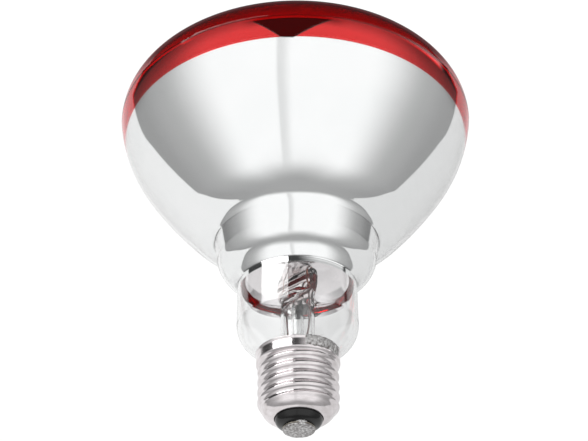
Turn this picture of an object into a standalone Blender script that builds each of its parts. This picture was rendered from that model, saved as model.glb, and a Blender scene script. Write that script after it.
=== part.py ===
"""Red-fronted infrared reflector lamp (R125) on an E27 screw cap, standing cap down.

Frame: the origin is on the flat face of the centre contact, and +Z runs up the lamp's axis to
the red front. "Front" for the side solder and the thread start is the -Y side.
"""

import math

import bmesh
import bpy
from mathutils import Vector

MM = 0.001
GAP = 0.3 * MM  # clearance between pieces that touch or are fused on the real lamp

# Glass envelope: outer surface, from the neck's end up to the dome's apex.
GLASS_WALL = 1.0 * MM
NECK_END_RADIUS = 10.6 * MM
NECK_END_Z = 19.0 * MM
NECK_FLARE_Z = 24.0 * MM
NECK_RIM_RADIUS = 12.2 * MM  # where the neck leaves the cap
NECK_RADIUS = 20.1 * MM
NECK_SHOULDER_RADIUS = 9.0 * MM
NECK_SHOULDER_Z = 38.0 * MM
NECK_SHOULDER_ANGLE = math.radians(48)
STEP_Z = 52.9 * MM  # where the neck opens into the rounded step under the bowl
STEP_FILLET = 5.2 * MM
STEP_ROUND = 8.0 * MM
STEP_RADIUS = 27.15 * MM
STEP_ANGLE = math.radians(62)
STEP_LEAN = math.radians(10)  # the step's wall still opens a little where it meets the bowl
STEP_WALL = 6.5 * MM
BOWL_FILLET = 2.9 * MM
BOWL_FOOT_ANGLE = math.radians(66)
BOWL_FOCAL_LENGTH = 18.4 * MM  # the reflector is a paraboloid about the filament
BOWL_VERTEX_Z = 57.7 * MM
PARABOLA_START_Z = 78.0 * MM
PARABOLA_END_Z = 97.0 * MM
BELT_RADIUS = 62.5 * MM
BELT_Z = 118.6 * MM
BELT_SLOPE = math.radians(8.3)  # the bowl still opens a little where it meets the dome
SHOULDER_RADIUS = 14.0 * MM
CROWN_RADIUS = 84.5 * MM
POLE_RADIUS = 2.0 * MM  # radius of the small flat face at the dome's apex
APEX_Z = 153.0 * MM  # above every point of the glass
GLASS_SEGMENTS = 32

# Coatings on the inside of the glass, thickened so that they are solids.
COATING = 0.2 * MM
MIRROR_LOW_Z = 51.3 * MM
MIRROR_EDGE_Z = 111.3 * MM  # the mirror shows silver up to here and lies behind the ruby above
RED_LOW_Z = 111.8 * MM
MIRROR_HIGH_Z = 118.0 * MM

# E27 screw cap.
THREAD_PITCH = 3.629 * MM
THREAD_ROOT = 12.1 * MM
THREAD_DEPTH = 1.1 * MM
THREAD_ROUND = (THREAD_PITCH**2 / 16 + THREAD_DEPTH**2 / 4) / THREAD_DEPTH  # of crests and roots
THREAD_CREST_Z = 7.1 * MM  # lowest crest on the front
THREAD_FADE = (6.6 * MM, 8.8 * MM)  # the thread runs out between these heights
THREAD_ROWS_PER_TURN = 5
COLLAR_FADE = (22.3 * MM, 23.6 * MM)  # the thread turns into the plain collar
COLLAR_RADIUS = 13.65 * MM
COLLAR_LIP_Z = 26.2 * MM
SHELL_RIM_Z = 27.3 * MM
SHELL_RIM_RADIUS = 13.9 * MM
SHELL_WALL = 0.5 * MM
SHELL_BORE = 11.6 * MM
LIP_RADIUS = 7.9 * MM
LIP_ROUND = 4.2 * MM
LIP_Z = 4.4 * MM
SHELL_SEGMENTS = 32
COLLAR_BORE = 13.1 * MM

# Insulator, contact and solder.
INSULATOR_HOLE = 1.6 * MM
INSULATOR_FACE_Z = 1.6 * MM
INSULATOR_TOP_Z = 9.8 * MM
CONTACT_RADIUS = 5.2 * MM
CONTACT_Z = (0.9 * MM, 1.3 * MM)
CONTACT_HOLE = 1.0 * MM
SOLDER_FLAT = 4.3 * MM
SOLDER_RADIUS = 5.0 * MM
SOLDER_TOP_Z = 0.6 * MM
SIDE_SOLDER_ARC = (math.radians(12), math.radians(70))  # from the front towards +X
SIDE_SOLDER_THICKNESS = 0.7 * MM
SIDE_SOLDER_LOW_Z = 23.9 * MM

# Stem: flared tube pinched flat at the top, with the lead wires sealed in the pinch.
STEM_RADIUS = 5.6 * MM
STEM_WALL = 0.9 * MM
STEM_RIM_RADIUS = 9.3 * MM
STEM_RIM_Z = 19.2 * MM
PRESS_HALF_WIDTH = 8.4 * MM
PRESS_HALF_THICKNESS = 2.2 * MM
PRESS_Z = (53.0 * MM, 62.2 * MM)
PRESS_YAW = math.radians(-43)  # the pinch's wide direction, seen from above
PRESS_SQUARENESS = 3.4  # exponent of the pinch's rounded outline; 2 is an ellipse
CAVITY_TOP_Z = 50.6 * MM
STEM_SEGMENTS = 20

# Heat shield: a polished disc round the pinch that closes the neck below the bowl.
SHIELD_RADIUS = 17.5 * MM
SHIELD_Z = (54.3 * MM, 54.7 * MM)
SHIELD_SEGMENTS = 40

# Lead wires, filament and its supports.
LEAD_OFFSET = 5.2 * MM
SEAL_HOLE = 0.6 * MM
SEAL_WIRE = 0.25 * MM
OUTER_WIRE = 0.3 * MM
INNER_WIRE = 0.4 * MM
SUPPORT_WIRE = 0.2 * MM
FILAMENT_RING = 11.0 * MM
FILAMENT_RADIUS = 0.8 * MM
FILAMENT_Z = BOWL_VERTEX_Z + BOWL_FOCAL_LENGTH + 0.9 * MM
FILAMENT_GAP = math.radians(60)  # the ring is open here, between the two leads
SUPPORTS = 5
HOOK_RADIUS = 1.4 * MM
BUTTON_RADIUS = 3.0 * MM
BUTTON_Z = 72.0 * MM
ARBOR_RADIUS = 1.4 * MM
EXHAUST_RADIUS = 2.0 * MM
EXHAUST_BORE = 1.3 * MM
EXHAUST_Z = (12.5 * MM, 50.2 * MM)
LEAD_TURN = math.radians(18)  # how far the leads wander round inside the stem
SIDE_LEAD_ANGLE = math.radians(41)  # where the side lead comes up, from the front towards +X
SLOT_WIDTH = 1.4 * MM


def material(name, colour, roughness, metallic, alpha=1.0):
    made = bpy.data.materials.new(name)
    made.use_nodes = True
    shader = made.node_tree.nodes["Principled BSDF"]
    shader.inputs["Base Color"].default_value = (*colour, 1.0)
    shader.inputs["Roughness"].default_value = roughness
    shader.inputs["Metallic"].default_value = metallic
    shader.inputs["Alpha"].default_value = alpha
    return made


def front_angle(angle):
    """An angle measured from the front (-Y) towards +X, as an angle about +Z from +X."""
    return angle - math.pi / 2


def polar(radius, angle, z):
    return Vector((radius * math.cos(angle), radius * math.sin(angle), z))


def smoothstep(low, high, value):
    t = min(max((value - low) / (high - low), 0.0), 1.0)
    return t * t * (3 - 2 * t)


# Profiles are lists of (radius, z).


def arc(centre, radius, start, end, count):
    """Points on an arc in the profile plane; angle 0 points away from the axis."""
    angles = [start + (end - start) * i / (count - 1) for i in range(count)]
    return [(centre[0] + radius * math.cos(a), centre[1] + radius * math.sin(a)) for a in angles]


def blend(start, start_lean, end, end_lean, count):
    """A curve between two points whose tangents lean outwards from +Z by the given angles."""
    reach = ((end[0] - start[0]) - (end[1] - start[1]) * math.tan(end_lean)) / (
        math.tan(start_lean) - math.tan(end_lean)
    )
    corner = (start[0] + reach * math.tan(start_lean), start[1] + reach)
    steps = [i / count for i in range(1, count + 1)]
    return [
        tuple((1 - t) ** 2 * a + 2 * t * (1 - t) * b + t**2 * c for a, b, c in zip(start, corner, end))
        for t in steps
    ]


def parabola_radius(z):
    return math.sqrt(4 * BOWL_FOCAL_LENGTH * (z - BOWL_VERTEX_Z))


def parabola_lean(z):
    return math.atan(2 * BOWL_FOCAL_LENGTH / parabola_radius(z))


def neck_profile():
    tube = [(NECK_END_RADIUS, NECK_END_Z), (NECK_END_RADIUS, NECK_FLARE_Z)]
    throat = [(NECK_END_RADIUS + 0.6 * MM, NECK_FLARE_Z + 1.6 * MM), (NECK_RIM_RADIUS, SHELL_RIM_Z)]
    centre = (NECK_RADIUS - NECK_SHOULDER_RADIUS, NECK_SHOULDER_Z)
    shoulder = arc(centre, NECK_SHOULDER_RADIUS, -NECK_SHOULDER_ANGLE, 0, 4)
    return tube + throat + shoulder + [(NECK_RADIUS, MIRROR_LOW_Z)]


def step_profile():
    fillet = arc((NECK_RADIUS + STEP_FILLET, STEP_Z), STEP_FILLET, math.pi, math.pi - STEP_ANGLE, 4)
    round_start = STEP_RADIUS - STEP_ROUND * (1 - math.cos(STEP_ANGLE))
    wall_z = (
        fillet[-1][1]
        + (round_start - fillet[-1][0]) / math.tan(STEP_ANGLE)
        + STEP_ROUND * math.sin(STEP_ANGLE)
    )
    rounded = arc((STEP_RADIUS - STEP_ROUND, wall_z), STEP_ROUND, -STEP_ANGLE, -STEP_LEAN, 5)
    top = (rounded[-1][0] + STEP_WALL * math.tan(STEP_LEAN), rounded[-1][1] + STEP_WALL)
    foot = (top[0] + BOWL_FILLET * math.cos(STEP_LEAN), top[1] - BOWL_FILLET * math.sin(STEP_LEAN))
    return fillet + rounded + arc(foot, BOWL_FILLET, math.pi - STEP_LEAN, math.pi - BOWL_FOOT_ANGLE, 4)


def bowl_profile(foot):
    low = (parabola_radius(PARABOLA_START_Z), PARABOLA_START_Z)
    high = (parabola_radius(PARABOLA_END_Z), PARABOLA_END_Z)
    points = blend(foot, BOWL_FOOT_ANGLE, low, parabola_lean(PARABOLA_START_Z), 3)
    steps = 3
    for i in range(1, steps + 1):
        z = PARABOLA_START_Z + (PARABOLA_END_Z - PARABOLA_START_Z) * i / steps
        points.append((parabola_radius(z), z))
    return points + blend(high, parabola_lean(PARABOLA_END_Z), (BELT_RADIUS, BELT_Z), BELT_SLOPE, 4)


def dome_profile():
    shoulder_centre = BELT_RADIUS - SHOULDER_RADIUS
    drop = math.sqrt((CROWN_RADIUS - SHOULDER_RADIUS) ** 2 - shoulder_centre**2)
    join = math.atan2(drop, shoulder_centre)
    shoulder = arc((shoulder_centre, BELT_Z), SHOULDER_RADIUS, 0, join, 5)
    pole = math.acos(POLE_RADIUS / CROWN_RADIUS)
    return shoulder[1:] + arc((0, BELT_Z - drop), CROWN_RADIUS, join, pole, 5)[1:]


def glass_profile():
    """The outer surface of the glass, from the neck's end to the apex."""
    lower = neck_profile() + step_profile()
    return lower + bowl_profile(lower[-1]) + dome_profile()


def inset(profile, depth):
    """The profile moved into the lamp by depth, square to itself."""
    moved = []
    for i, (radius, z) in enumerate(profile):
        before = profile[max(i - 1, 0)]
        after = profile[min(i + 1, len(profile) - 1)]
        normals = []
        for (r0, z0), (r1, z1) in ((before, (radius, z)), ((radius, z), after)):
            length = math.hypot(r1 - r0, z1 - z0)
            if length > 0:
                normals.append(Vector((-(z1 - z0) / length, (r1 - r0) / length)))
        mean = (normals[0] + normals[-1]).normalized()
        reach = depth / mean.dot(normals[0])
        moved.append((radius + mean.x * reach, z + mean.y * reach))
    return moved


def between(profile, low, high):
    """The stretch of a rising profile between two heights."""
    kept = []
    for (r0, z0), (r1, z1) in zip(profile, profile[1:]):
        for limit in (low, high):
            if z0 < limit < z1:
                kept.append((r0 + (r1 - r0) * (limit - z0) / (z1 - z0), limit))
        if low <= z1 <= high:
            kept.append((r1, z1))
    return sorted(kept, key=lambda point: point[1])


# Solids are made from rings of points.


def round_ring(radius, z, segments):
    return [polar(radius, 2 * math.pi * i / segments, z) for i in range(segments)]


def oval_ring(z, half_width, half_thickness, exponent, segments):
    """A rounded outline whose long direction lies along PRESS_YAW."""
    ring = []
    for i in range(segments):
        angle = 2 * math.pi * i / segments
        c, s = math.cos(angle), math.sin(angle)
        x = half_width * math.copysign(abs(c) ** (2 / exponent), c)
        y = half_thickness * math.copysign(abs(s) ** (2 / exponent), s)
        yaw_c, yaw_s = math.cos(PRESS_YAW), math.sin(PRESS_YAW)
        ring.append(Vector((x * yaw_c - y * yaw_s, x * yaw_s + y * yaw_c, z)))
    return ring


def loft(name, rings, look, endless=False):
    """A solid through the rings: capped at both ends, or endless where the last meets the first."""
    mesh = bmesh.new()
    loops = [[mesh.verts.new(point) for point in ring] for ring in rings]
    pairs = list(zip(loops, loops[1:]))
    if endless:
        pairs.append((loops[-1], loops[0]))
    else:
        mesh.faces.new(loops[0])
        mesh.faces.new(loops[-1])
    for low, high in pairs:
        for i in range(len(low)):
            j = (i + 1) % len(low)
            mesh.faces.new((low[i], low[j], high[j], high[i]))
    bmesh.ops.recalc_face_normals(mesh, faces=mesh.faces)
    data = bpy.data.meshes.new(name)
    mesh.to_mesh(data)
    mesh.free()
    data.shade_smooth()
    data.set_sharp_from_angle(angle=math.radians(35))
    data.materials.append(look)
    made = bpy.data.objects.new(name, data)
    bpy.context.scene.collection.objects.link(made)
    return made


def turned(name, outline, look, segments, endless=True):
    """A solid of revolution; endless outlines are closed loops that keep clear of the axis."""
    return loft(name, [round_ring(r, z, segments) for r, z in outline], look, endless)


def smooth_path(points, per_span):
    """A smooth curve through the points."""
    ends = [points[0] * 2 - points[1]] + points + [points[-1] * 2 - points[-2]]
    path = [points[0]]
    for a, b, c, d in zip(ends, ends[1:], ends[2:], ends[3:]):
        for i in range(1, per_span + 1):
            t = i / per_span
            cubic = (3 * b - a - 3 * c + d) * t**3 + (2 * a - 5 * b + 4 * c - d) * t**2
            path.append((cubic + (c - a) * t + 2 * b) * 0.5)
    return path


def wire(name, points, radius, look, bevel_resolution=1):
    curve = bpy.data.curves.new(name, "CURVE")
    curve.dimensions = "3D"
    curve.bevel_depth = radius
    curve.bevel_resolution = bevel_resolution
    curve.use_fill_caps = True
    spline = curve.splines.new("POLY")
    spline.points.add(len(points) - 1)
    for target, point in zip(spline.points, points):
        target.co = (*point, 1.0)
    curve.materials.append(look)
    made = bpy.data.objects.new(name, curve)
    bpy.context.scene.collection.objects.link(made)
    return made


def cut(target, cutter):
    cutter.hide_render = True
    cutter.display_type = "WIRE"
    boolean = target.modifiers.new(cutter.name, "BOOLEAN")
    boolean.operation = "DIFFERENCE"
    boolean.solver = "EXACT"
    boolean.object = cutter


def build_glass(clear, silver, red):
    outer = glass_profile()
    inner = inset(outer, GLASS_WALL)
    turned("glass_bulb", inner[::-1] + outer, clear, GLASS_SEGMENTS, endless=False)

    def layer(depth, low, high=APEX_Z):
        return between(inset(outer, GLASS_WALL + depth), low, high)

    behind = GAP + COATING + GAP
    face = layer(GAP, MIRROR_LOW_Z, MIRROR_EDGE_Z) + layer(behind, RED_LOW_Z, MIRROR_HIGH_Z)
    back = layer(GAP + COATING, MIRROR_LOW_Z, MIRROR_EDGE_Z)
    back += layer(behind + COATING, RED_LOW_Z, MIRROR_HIGH_Z)
    turned("mirror_coating", face + back[::-1], silver, GLASS_SEGMENTS)
    front = layer(GAP + COATING, RED_LOW_Z)[::-1] + layer(GAP, RED_LOW_Z)
    turned("red_front_coating", front, red, GLASS_SEGMENTS, endless=False)


def build_stem(clear):
    """The flared stem glass, its exhaust tube and the arbor that carries the supports."""
    low, top = PRESS_Z
    bore = STEM_RADIUS - STEM_WALL
    rounded = 2
    stations = [
        (CAVITY_TOP_Z, 6.4 * MM, 1.0 * MM, rounded),
        (CAVITY_TOP_Z - 1.0 * MM, 6.6 * MM, 1.9 * MM, rounded),
        (CAVITY_TOP_Z - 3.1 * MM, 5.9 * MM, 3.2 * MM, rounded),
        (CAVITY_TOP_Z - 5.6 * MM, bore, 4.3 * MM, rounded),
        (CAVITY_TOP_Z - 7.6 * MM, bore, bore, rounded),
        (29.0 * MM, bore, bore, rounded),
        (25.5 * MM, 5.3 * MM, 5.3 * MM, rounded),
        (22.5 * MM, 6.7 * MM, 6.7 * MM, rounded),
        (20.0 * MM, 8.4 * MM, 8.4 * MM, rounded),
        (STEM_RIM_Z, 8.5 * MM, 8.5 * MM, rounded),
        (STEM_RIM_Z, STEM_RIM_RADIUS, STEM_RIM_RADIUS, rounded),
        (20.2 * MM, 9.2 * MM, 9.2 * MM, rounded),
        (22.5 * MM, 7.6 * MM, 7.6 * MM, rounded),
        (25.5 * MM, 6.2 * MM, 6.2 * MM, rounded),
        (29.0 * MM, STEM_RADIUS, STEM_RADIUS, rounded),
        (low - 7.0 * MM, STEM_RADIUS, STEM_RADIUS, rounded),
        (low - 4.5 * MM, 6.6 * MM, 4.6 * MM, rounded),
        (low - 2.0 * MM, 8.0 * MM, 3.0 * MM, 2.7),
        (low, PRESS_HALF_WIDTH, PRESS_HALF_THICKNESS, PRESS_SQUARENESS),
        (top - 0.7 * MM, PRESS_HALF_WIDTH, PRESS_HALF_THICKNESS, PRESS_SQUARENESS),
        (top, PRESS_HALF_WIDTH - 0.6 * MM, PRESS_HALF_THICKNESS - 0.6 * MM, PRESS_SQUARENESS),
    ]
    stem = loft("stem_flare", [oval_ring(*s, STEM_SEGMENTS) for s in stations], clear)
    for side, sign in (("side", 1), ("centre", -1)):
        at = polar(sign * LEAD_OFFSET, PRESS_YAW, 0)
        rings = [round_ring(SEAL_HOLE, z, 10) for z in (CAVITY_TOP_Z - 1.2 * MM, top + 1.0 * MM)]
        cut(stem, loft(f"seal_hole_{side}", [[p + at for p in ring] for ring in rings], clear))

    tip, mouth = EXHAUST_Z
    mouth -= GAP
    turned(
        "exhaust_tube",
        [
            (0.4 * MM, tip + 3.4 * MM),
            (EXHAUST_BORE, tip + 5.0 * MM),
            (EXHAUST_BORE, mouth - 3.0 * MM),
            (0.6 * MM, mouth),
            (1.0 * MM, mouth),
            (EXHAUST_RADIUS, mouth - 4.0 * MM),
            (EXHAUST_RADIUS, tip + 4.5 * MM),
            (1.2 * MM, tip + 1.6 * MM),
            (0.4 * MM, tip),
        ],
        clear,
        12,
        endless=False,
    )
    half = BUTTON_RADIUS * 0.6
    button = [
        (BUTTON_RADIUS * math.cos(a), BUTTON_Z + half * math.sin(a))
        for a in (math.radians(d) for d in (-55, -30, 0, 30, 60, 84))
    ]
    rod = [(ARBOR_RADIUS, PRESS_Z[1] + GAP), (ARBOR_RADIUS, BUTTON_Z - half - 0.6 * MM)]
    turned("arbor_rod", rod + button, clear, 14, endless=False)


def build_heat_shield(aluminium):
    """A disc with a slot that fits round the pinch."""
    low, high = SHIELD_Z
    half_width, half_thickness = PRESS_HALF_WIDTH + GAP, PRESS_HALF_THICKNESS + GAP
    count = SHIELD_SEGMENTS
    slot = [oval_ring(z, half_width, half_thickness, PRESS_SQUARENESS, count) for z in (high, low)]
    angles = [PRESS_YAW + 2 * math.pi * i / count for i in range(count)]
    rim = [[polar(SHIELD_RADIUS, angle, z) for angle in angles] for z in (low, high)]
    loft("heat_shield", slot + rim, aluminium, endless=True)


def build_filament(nickel, tungsten, molybdenum):
    opening = PRESS_YAW - math.pi / 2  # the gap in the ring, square to the pinch
    start = opening + FILAMENT_GAP / 2
    end = opening + 2 * math.pi - FILAMENT_GAP / 2
    steps = 40
    ring = [polar(FILAMENT_RING, start + (end - start) * i / steps, FILAMENT_Z) for i in range(steps + 1)]
    wire("filament", ring, FILAMENT_RADIUS, tungsten, bevel_resolution=2)

    for i in range(SUPPORTS):
        angle = start + (end - start) * (i + 1) / (SUPPORTS + 1)
        root = polar(BUTTON_RADIUS + GAP + SUPPORT_WIRE, angle, BUTTON_Z)
        knee = polar(FILAMENT_RING - 3.2 * MM, angle, FILAMENT_Z - 2.4 * MM)
        hook = [
            polar(FILAMENT_RING + HOOK_RADIUS * math.sin(a), angle, FILAMENT_Z - HOOK_RADIUS * math.cos(a))
            for a in (math.radians(d) for d in (-30, 0, 30, 60, 90, 120, 150, 180))
        ]
        wire(f"support_wire_{i + 1}", [root, knee] + hook, SUPPORT_WIRE, molybdenum)

    for side, sign, tip in (("side", 1, start), ("centre", -1, end)):
        base = PRESS_YAW if sign > 0 else PRESS_YAW + math.pi
        foot = PRESS_Z[1] + GAP
        turn = -sign  # both leads swing round towards the ring's gap
        points = [
            polar(LEAD_OFFSET, base, foot),
            polar(LEAD_OFFSET + 0.2 * MM, base + turn * math.radians(2), foot + 3.5 * MM),
            polar(7.5 * MM, base + turn * math.radians(17), foot + 8.0 * MM),
            polar(10.2 * MM, base + turn * math.radians(46), FILAMENT_Z - 3.2 * MM),
            polar(FILAMENT_RING, tip + turn * math.radians(4), FILAMENT_Z - 1.6 * MM),
            polar(FILAMENT_RING, tip + turn * math.radians(4), FILAMENT_Z + 0.3 * MM),
        ]
        wire(f"inner_lead_{side}", smooth_path(points, 4), INNER_WIRE, nickel)


def build_outer_leads(dumet, copper):
    for side, sign in (("side", 1), ("centre", -1)):
        at = polar(sign * LEAD_OFFSET, PRESS_YAW, 0)
        low, high = CAVITY_TOP_Z + GAP, PRESS_Z[1]
        wire(f"seal_wire_{side}", [at + Vector((0, 0, z)) for z in (low, high)], SEAL_WIRE, dumet)

    run = front_angle(SIDE_LEAD_ANGLE)
    side_route = [
        polar(LEAD_OFFSET, PRESS_YAW, CAVITY_TOP_Z),
        polar(LEAD_OFFSET - 0.2 * MM, PRESS_YAW, 48.0 * MM),
        polar(4.1 * MM, PRESS_YAW + LEAD_TURN, 44.5 * MM),
        polar(3.9 * MM, PRESS_YAW + LEAD_TURN, 38.0 * MM),
        polar(3.4 * MM, PRESS_YAW, 30.0 * MM),
        polar(3.8 * MM, run, 22.0 * MM),
        polar(5.4 * MM, run, 18.6 * MM),
        polar(8.4 * MM, run, 17.2 * MM),
        polar(10.6 * MM, run, 17.8 * MM),
        polar(11.1 * MM, run, 19.6 * MM),
        polar(11.1 * MM, run, 22.6 * MM),
        polar(12.1 * MM, run, 24.7 * MM),
        polar(12.75 * MM, run, 26.4 * MM),
    ]
    wire("outer_lead_side", smooth_path(side_route, 3), OUTER_WIRE, copper)
    centre_route = [
        polar(-LEAD_OFFSET, PRESS_YAW, CAVITY_TOP_Z),
        polar(-LEAD_OFFSET + 0.2 * MM, PRESS_YAW, 47.5 * MM),
        polar(-4.1 * MM, PRESS_YAW + LEAD_TURN, 43.0 * MM),
        polar(-3.6 * MM, PRESS_YAW + LEAD_TURN, 35.0 * MM),
        polar(-3.4 * MM, PRESS_YAW, 28.0 * MM),
        polar(-3.5 * MM, PRESS_YAW, 15.0 * MM),
        polar(-2.0 * MM, PRESS_YAW, 11.0 * MM),
        polar(-0.3 * MM, PRESS_YAW, 8.0 * MM),
        polar(0, PRESS_YAW, 5.0 * MM),
        polar(0, PRESS_YAW, SOLDER_TOP_Z + GAP),
    ]
    wire("outer_lead_centre", smooth_path(centre_route, 3), OUTER_WIRE, copper)


def collar_radius(z):
    return COLLAR_RADIUS + (SHELL_RIM_RADIUS - COLLAR_RADIUS) * smoothstep(COLLAR_LIP_Z, SHELL_RIM_Z, z)


def thread_height(turns):
    """1 on a crest and 0 in a root; crests and roots are arcs of one radius that meet halfway."""
    across = abs(turns - round(turns)) * THREAD_PITCH
    from_crest = across < THREAD_PITCH / 4
    reach = across if from_crest else THREAD_PITCH / 2 - across
    drop = (THREAD_ROUND - math.sqrt(THREAD_ROUND**2 - reach**2)) / THREAD_DEPTH
    return 1 - drop if from_crest else drop


def shell_radius(angle, z):
    """The cap's outer surface; the angle is measured from the front towards +X."""
    round_top = LIP_Z + LIP_ROUND
    if z < round_top:
        body = LIP_RADIUS + math.sqrt(max(LIP_ROUND**2 - (round_top - z) ** 2, 0.0))
    else:
        body = THREAD_ROOT
    turns = (z - THREAD_CREST_Z) / THREAD_PITCH - angle / (2 * math.pi)
    threaded = body + THREAD_DEPTH * thread_height(turns) * smoothstep(*THREAD_FADE, z)
    collar = smoothstep(*COLLAR_FADE, z)
    return threaded * (1 - collar) + collar_radius(z) * collar


def build_cap(nickel_plate, cement_look, vitrite, brass, solder):
    round_top = LIP_Z + LIP_ROUND
    heights = [round_top - LIP_ROUND * math.cos(math.radians(a)) for a in (0, 25, 45, 62, 78)]
    rows = round((COLLAR_FADE[1] - round_top) / THREAD_PITCH * THREAD_ROWS_PER_TURN)
    heights += [round_top + (COLLAR_FADE[1] - round_top) * i / rows for i in range(rows + 1)]
    heights += [COLLAR_LIP_Z, SHELL_RIM_Z]
    outer = []
    for z in heights:
        angles = [2 * math.pi * i / SHELL_SEGMENTS for i in range(SHELL_SEGMENTS)]
        outer.append([polar(shell_radius(a, z), front_angle(a), z) for a in angles])
    bore = [
        (SHELL_RIM_RADIUS - SHELL_WALL, SHELL_RIM_Z),
        (COLLAR_BORE, COLLAR_FADE[1] + 0.3 * MM),
        (SHELL_BORE, COLLAR_FADE[0] + 0.7 * MM),
    ]
    bore += arc((LIP_RADIUS, round_top), LIP_ROUND - SHELL_WALL, 0, -math.pi / 2, 5)
    inner = [[polar(r, front_angle(0) + 2 * math.pi * i / SHELL_SEGMENTS, z) for i in range(SHELL_SEGMENTS)]
             for r, z in bore]
    loft("cap_shell", outer + inner, nickel_plate, endless=True)

    cement = turned(
        "capping_cement",
        [
            (NECK_END_RADIUS + GAP, NECK_END_Z + 0.5 * MM),
            (NECK_END_RADIUS + GAP, NECK_FLARE_Z),
            (NECK_END_RADIUS + 0.8 * MM, NECK_FLARE_Z + 1.4 * MM),
            (NECK_END_RADIUS + 1.1 * MM, SHELL_RIM_Z - 0.9 * MM),
            (SHELL_RIM_RADIUS - SHELL_WALL - 0.55 * MM, SHELL_RIM_Z - 0.9 * MM),
            (COLLAR_BORE - GAP, COLLAR_FADE[1] + 0.4 * MM),
            (SHELL_BORE - GAP, COLLAR_FADE[0] + 0.6 * MM),
            (SHELL_BORE - GAP, NECK_END_Z + 0.5 * MM),
        ],
        cement_look,
        SHELL_SEGMENTS,
    )
    across = Vector((math.cos(SIDE_LEAD_ANGLE), math.sin(SIDE_LEAD_ANGLE), 0)) * SLOT_WIDTH / 2
    out = polar(1.0, front_angle(SIDE_LEAD_ANGLE), 0)
    slot = []
    for z in (NECK_END_Z - 1.0 * MM, SHELL_RIM_Z):
        up = Vector((0, 0, z))
        near, far = out * 9.0 * MM, out * 14.0 * MM
        slot.append([near - across + up, far - across + up, far + across + up, near + across + up])
    cut(cement, loft("lead_slot", slot, cement_look))

    inner_round = LIP_ROUND - SHELL_WALL - GAP
    flange = arc((LIP_RADIUS, round_top), inner_round, math.radians(-75), 0, 4)
    turned(
        "cap_insulator",
        [
            (INSULATOR_HOLE, INSULATOR_FACE_Z),
            (CONTACT_RADIUS + 0.3 * MM, INSULATOR_FACE_Z),
            (LIP_RADIUS - 1.1 * MM, INSULATOR_FACE_Z + 0.8 * MM),
            (LIP_RADIUS - 0.35 * MM, LIP_Z - 0.2 * MM),
            (LIP_RADIUS - 0.35 * MM, LIP_Z + 0.8 * MM),
            *flange,
            (SHELL_BORE - GAP, INSULATOR_TOP_Z - 0.6 * MM),
            (SHELL_BORE - 1.2 * MM, INSULATOR_TOP_Z),
            (INSULATOR_HOLE + 1.4 * MM, INSULATOR_TOP_Z),
            (INSULATOR_HOLE, INSULATOR_TOP_Z - 0.8 * MM),
        ],
        vitrite,
        24,
    )
    low, high = CONTACT_Z
    turned(
        "centre_contact",
        [(CONTACT_HOLE, low), (CONTACT_RADIUS, low), (CONTACT_RADIUS, high), (CONTACT_HOLE, high)],
        brass,
        24,
    )
    turned(
        "centre_solder",
        [(SOLDER_FLAT, 0), (SOLDER_RADIUS, 0.25 * MM), (SOLDER_RADIUS - 0.2 * MM, SOLDER_TOP_Z)],
        solder,
        24,
        endless=False,
    )
    build_side_solder(solder)


def build_side_solder(solder):
    """A lump over the collar and the rim, thinning to both ends."""
    stations = []
    steps = 8
    start, end = SIDE_SOLDER_ARC
    seat = SHELL_RIM_Z + GAP
    for i in range(steps + 1):
        angle = front_angle(start + (end - start) * i / steps)
        thick = SIDE_SOLDER_THICKNESS * (0.35 + 0.65 * math.sin(math.pi * i / steps))
        middle = (SIDE_SOLDER_LOW_Z + SHELL_RIM_Z) / 2
        section = [
            (collar_radius(SIDE_SOLDER_LOW_Z) + GAP, SIDE_SOLDER_LOW_Z),
            (collar_radius(middle) + GAP + 0.1 * MM, middle),
            (SHELL_RIM_RADIUS + GAP, seat),
            (SHELL_RIM_RADIUS - SHELL_WALL, seat),
            (SHELL_RIM_RADIUS - SHELL_WALL, seat + 0.6 * thick),
            (SHELL_RIM_RADIUS + GAP + thick, seat),
            (collar_radius(middle) + GAP + 0.1 * MM + thick, middle),
            (collar_radius(SIDE_SOLDER_LOW_Z) + GAP + 0.5 * thick, SIDE_SOLDER_LOW_Z),
        ]
        stations.append([polar(r, angle, z) for r, z in section])
    loft("side_solder", stations, solder)


def main():
    for old in list(bpy.data.objects):
        bpy.data.objects.remove(old)
    clear = material("clear_glass", (0.93, 0.95, 0.95), 0.03, 0.0, alpha=0.35)
    stem_glass = material("stem_glass", (0.88, 0.91, 0.90), 0.08, 0.0, alpha=0.35)
    silver = material("aluminium_mirror", (0.90, 0.91, 0.92), 0.05, 1.0)
    red = material("ruby_coating", (0.55, 0.01, 0.02), 0.08, 0.0)
    nickel_plate = material("nickel_plate", (0.72, 0.69, 0.66), 0.18, 1.0)
    cement_look = material("capping_cement", (0.62, 0.56, 0.46), 0.90, 0.0)
    vitrite = material("black_vitrite", (0.01, 0.01, 0.01), 0.12, 0.0)
    brass = material("contact_brass", (0.75, 0.58, 0.28), 0.30, 1.0)
    solder = material("tin_solder", (0.48, 0.48, 0.47), 0.50, 1.0)
    nickel = material("nickel_wire", (0.60, 0.58, 0.55), 0.35, 1.0)
    aluminium = material("aluminium_sheet", (0.85, 0.84, 0.85), 0.15, 1.0)
    tungsten = material("tungsten_coil", (0.30, 0.30, 0.32), 0.45, 1.0)
    molybdenum = material("molybdenum_wire", (0.45, 0.45, 0.47), 0.40, 1.0)
    dumet = material("dumet_wire", (0.60, 0.25, 0.15), 0.40, 1.0)
    copper = material("copper_wire", (0.75, 0.42, 0.28), 0.35, 1.0)
    build_glass(clear, silver, red)
    build_stem(stem_glass)
    build_heat_shield(aluminium)
    build_filament(nickel, tungsten, molybdenum)
    build_outer_leads(dumet, copper)
    build_cap(nickel_plate, cement_look, vitrite, brass, solder)


main()
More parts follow.
